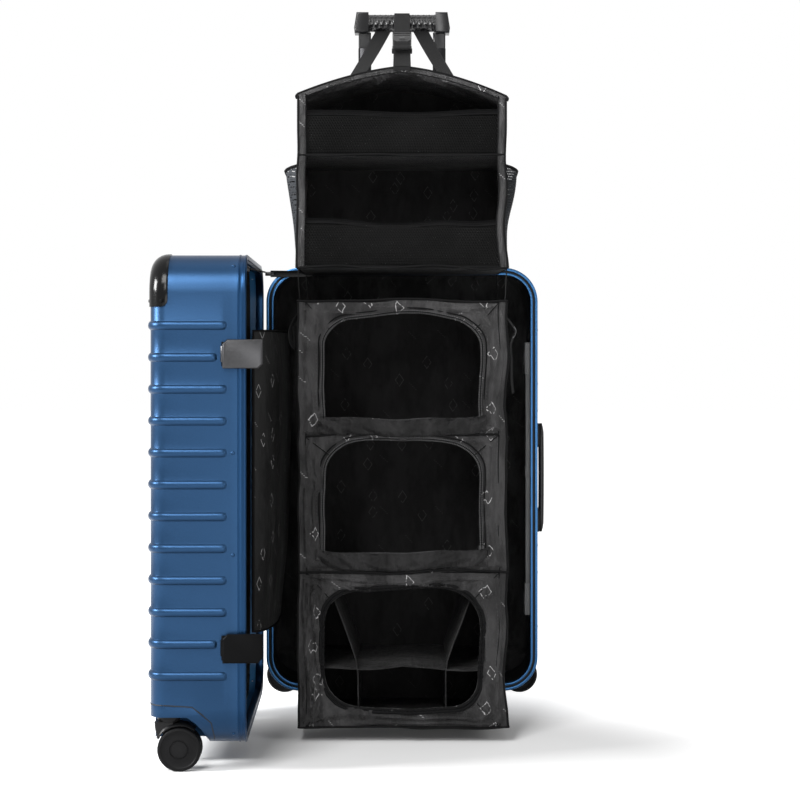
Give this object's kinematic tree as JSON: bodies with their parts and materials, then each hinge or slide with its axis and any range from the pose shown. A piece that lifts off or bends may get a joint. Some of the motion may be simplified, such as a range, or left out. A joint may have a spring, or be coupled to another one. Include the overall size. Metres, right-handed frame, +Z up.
{
  "type": "wardrobe trunk",
  "caption": "Upright hard-shell travel trunk on spinner wheels, hinged open, with a tiered fabric shelf hung from its extended pull handle.",
  "frame": {"origin": "on the floor, under the middle of the back half's rim plane", "axes": "+X to the right of someone facing the open trunk, -Y towards them out of the back half, +Z up"},
  "size_m": [0.5502, 0.6383, 1.0795],
  "materials": {
    "blue_metal": "satin metallic blue anodising",
    "frame_metal": "satin metallic blue extrusion",
    "blue_plastic": "satin metallic blue moulding",
    "black_plastic": "satin black moulding",
    "wheel_rubber": "matte black",
    "seal_rubber": "matte black",
    "lining_fabric": "black woven lining",
    "shelf_fabric": "charcoal nylon",
    "mesh_fabric": "fine black mesh",
    "board_fabric": "charcoal nylon over a stiff board",
    "webbing": "woven black tape",
    "tube_aluminium": "satin anodised",
    "latch_metal": "satin black"
  },
  "bodies": {
    "back_case": {"back_shell": "blue_metal", "back_rim_frame": "frame_metal", "rim_seal": "seal_rubber", "back_lining": "lining_fabric", "back_corner_guards": "black_plastic", "back_wheel_housings": "blue_plastic", "hinge_back_leaves": "latch_metal", "lock_keepers": "black_plastic", "lock_bar": "black_plastic", "side_carry_mounts": "black_plastic", "top_carry_mounts": "black_plastic", "trolley_foot": "black_plastic", "trolley_outer_tubes": "tube_aluminium", "trolley_bezel": "black_plastic", "stay_strap": "webbing", "upper_unit_walls": "shelf_fabric", "lower_unit_walls": "shelf_fabric", "mesh_pockets": "mesh_fabric", "side_pockets": "shelf_fabric", "corner_tapes": "webbing", "tier_5_dividers": "shelf_fabric", "tier_5_floor": "board_fabric"},
    "door": {"door_shell": "blue_metal", "door_rim_frame": "frame_metal", "door_lining": "lining_fabric", "door_corner_guards": "black_plastic", "door_wheel_housings": "blue_plastic", "hinge_door_leaves": "latch_metal", "latch_bases": "latch_metal", "divider_panel": "lining_fabric", "stay_cord": "webbing"},
    "upper_latch": {"upper_latch_lever": "latch_metal"},
    "lower_latch": {"lower_latch_lever": "latch_metal"},
    "side_grip": {"side_carry_grip": "black_plastic"},
    "top_grip": {"top_carry_grip": "black_plastic"},
    "trolley_mid": {"trolley_mid_tubes": "tube_aluminium"},
    "trolley_upper": {"trolley_inner_tubes": "tube_aluminium", "grip_bar": "black_plastic", "grip_end_caps": "black_plastic", "hanger_strap": "webbing", "hanger_side_straps": "webbing"},
    "button": {"release_button": "black_plastic"},
    "buckle": {"hanger_buckle": "black_plastic"},
    "roof": {"shelf_roof": "board_fabric"},
    "floor_1": {"tier_1_floor": "board_fabric"},
    "floor_2": {"tier_2_floor": "board_fabric"},
    "ceiling_3": {"lower_roof": "board_fabric"},
    "floor_3": {"tier_3_floor": "board_fabric"},
    "floor_4": {"tier_4_floor": "board_fabric"},
    "zip_3": {"tier_3_zip_slider": "latch_metal"},
    "zip_4": {"tier_4_zip_slider": "latch_metal"},
    "back_left_caster_fork": {"back_left_caster_fork": "black_plastic"},
    "back_left_caster_wheels": {"back_left_caster_wheels": "wheel_rubber"},
    "back_right_caster_fork": {"back_right_caster_fork": "black_plastic"},
    "back_right_caster_wheels": {"back_right_caster_wheels": "wheel_rubber"},
    "door_latch_caster_fork": {"door_latch_caster_fork": "black_plastic"},
    "door_latch_caster_wheels": {"door_latch_caster_wheels": "wheel_rubber"},
    "door_hinge_caster_fork": {"door_hinge_caster_fork": "black_plastic"},
    "door_hinge_caster_wheels": {"door_hinge_caster_wheels": "wheel_rubber"}
  },
  "joints": [
    {"name": "door_hinge", "type": "hinge", "parent": "back_case", "child": "door", "pos_m": [-0.208, 0, 0.3505], "axis": [0, 0, -1], "range_deg": [-10, 91]},
    {"name": "trolley_lower_slide", "type": "slide", "parent": "back_case", "child": "trolley_mid", "axis": [0, 0, 1], "range_m": [-0.182, 0], "deforming": ["upper_unit_walls", "lower_unit_walls", "mesh_pockets", "side_pockets", "corner_tapes", "tier_5_dividers", "hanger_strap", "hanger_side_straps"]},
    {"name": "trolley_upper_slide", "type": "slide", "parent": "trolley_mid", "child": "trolley_upper", "axis": [0, 0, 1], "range_m": [-0.182, 0]},
    {"name": "roof_drop", "type": "slide", "parent": "back_case", "child": "roof", "axis": [0, 0, 1], "range_m": [-0.2423, 0]},
    {"name": "floor_1_drop", "type": "slide", "parent": "back_case", "child": "floor_1", "axis": [0, 0, 1], "range_m": [-0.221, 0]},
    {"name": "floor_2_drop", "type": "slide", "parent": "back_case", "child": "floor_2", "axis": [0, 0, 1], "range_m": [-0.1778, 0]},
    {"name": "ceiling_3_drop", "type": "slide", "parent": "back_case", "child": "ceiling_3", "axis": [0, 0, 1], "range_m": [-0.1647, 0]},
    {"name": "floor_3_drop", "type": "slide", "parent": "back_case", "child": "floor_3", "axis": [0, 0, 1], "range_m": [-0.1125, 0]},
    {"name": "floor_4_drop", "type": "slide", "parent": "back_case", "child": "floor_4", "axis": [0, 0, 1], "range_m": [-0.0599, 0]},
    {"name": "buckle_drop", "type": "slide", "parent": "back_case", "child": "buckle", "axis": [0, 0, 1], "range_m": [-0.2941, 0]},
    {"name": "button_press", "type": "slide", "parent": "trolley_upper", "child": "button", "axis": [0, 0, 1], "range_m": [0, 0.003], "stiffness_N_per_m": 500},
    {"name": "side_grip_pull", "type": "slide", "parent": "back_case", "child": "side_grip", "axis": [1, 0, 0], "range_m": [0, 0.008], "stiffness_N_per_m": 400},
    {"name": "top_grip_pull", "type": "slide", "parent": "back_case", "child": "top_grip", "axis": [0, 0, 1], "range_m": [0, 0.008], "stiffness_N_per_m": 400},
    {"name": "upper_latch_turn", "type": "hinge", "parent": "door", "child": "upper_latch", "pos_m": [-0.22877, -0.41458, 0.5383], "axis": [0, 0, -1], "range_deg": [0, 70]},
    {"name": "lower_latch_turn", "type": "hinge", "parent": "door", "child": "lower_latch", "pos_m": [-0.22877, -0.41458, 0.1627], "axis": [0, 0, -1], "range_deg": [0, 70]},
    {"name": "zip_3_slide", "type": "slide", "parent": "floor_3", "child": "zip_3", "axis": [0, 0, 1], "range_m": [0, 0.06]},
    {"name": "zip_4_slide", "type": "slide", "parent": "floor_4", "child": "zip_4", "axis": [0, 0, 1], "range_m": [0, 0.06]},
    {"name": "back_left_caster_swivel", "type": "hinge", "parent": "back_case", "child": "back_left_caster_fork", "pos_m": [-0.17275, 0.182, 0.07], "axis": [0, 0, 1], "continuous": true},
    {"name": "back_left_caster_roll", "type": "hinge", "parent": "back_left_caster_fork", "child": "back_left_caster_wheels", "pos_m": [-0.18675, 0.182, 0.0285], "axis": [0, -1, 0], "continuous": true},
    {"name": "back_right_caster_swivel", "type": "hinge", "parent": "back_case", "child": "back_right_caster_fork", "pos_m": [0.17275, 0.182, 0.07], "axis": [0, 0, 1], "continuous": true},
    {"name": "back_right_caster_roll", "type": "hinge", "parent": "back_right_caster_fork", "child": "back_right_caster_wheels", "pos_m": [0.18675, 0.182, 0.0285], "axis": [0, 1, 0], "continuous": true},
    {"name": "door_latch_caster_swivel", "type": "hinge", "parent": "door", "child": "door_latch_caster_fork", "pos_m": [-0.30134, -0.38244, 0.07], "axis": [0, 0, 1], "continuous": true},
    {"name": "door_latch_caster_roll", "type": "hinge", "parent": "door_latch_caster_fork", "child": "door_latch_caster_wheels", "pos_m": [-0.28734, -0.38219, 0.0285], "axis": [-0.0175, 0.9998, 0], "continuous": true},
    {"name": "door_hinge_caster_swivel", "type": "hinge", "parent": "door", "child": "door_hinge_caster_fork", "pos_m": [-0.30737, -0.03699, 0.07], "axis": [0, 0, 1], "continuous": true},
    {"name": "door_hinge_caster_roll", "type": "hinge", "parent": "door_hinge_caster_fork", "child": "door_hinge_caster_wheels", "pos_m": [-0.29337, -0.03675, 0.0285], "axis": [-0.0175, 0.9998, 0], "continuous": true}
  ],
  "couplings": [
    {"joint": "trolley_upper_slide", "follows": "trolley_lower_slide", "ratio": 1},
    {"joint": "roof_drop", "follows": "trolley_lower_slide", "ratio": 1.3312},
    {"joint": "floor_1_drop", "follows": "trolley_lower_slide", "ratio": 1.214},
    {"joint": "floor_2_drop", "follows": "trolley_lower_slide", "ratio": 0.9766},
    {"joint": "ceiling_3_drop", "follows": "trolley_lower_slide", "ratio": 0.9046},
    {"joint": "floor_3_drop", "follows": "trolley_lower_slide", "ratio": 0.6181},
    {"joint": "floor_4_drop", "follows": "trolley_lower_slide", "ratio": 0.3286},
    {"joint": "buckle_drop", "follows": "trolley_lower_slide", "ratio": 1.6154}
  ]
}
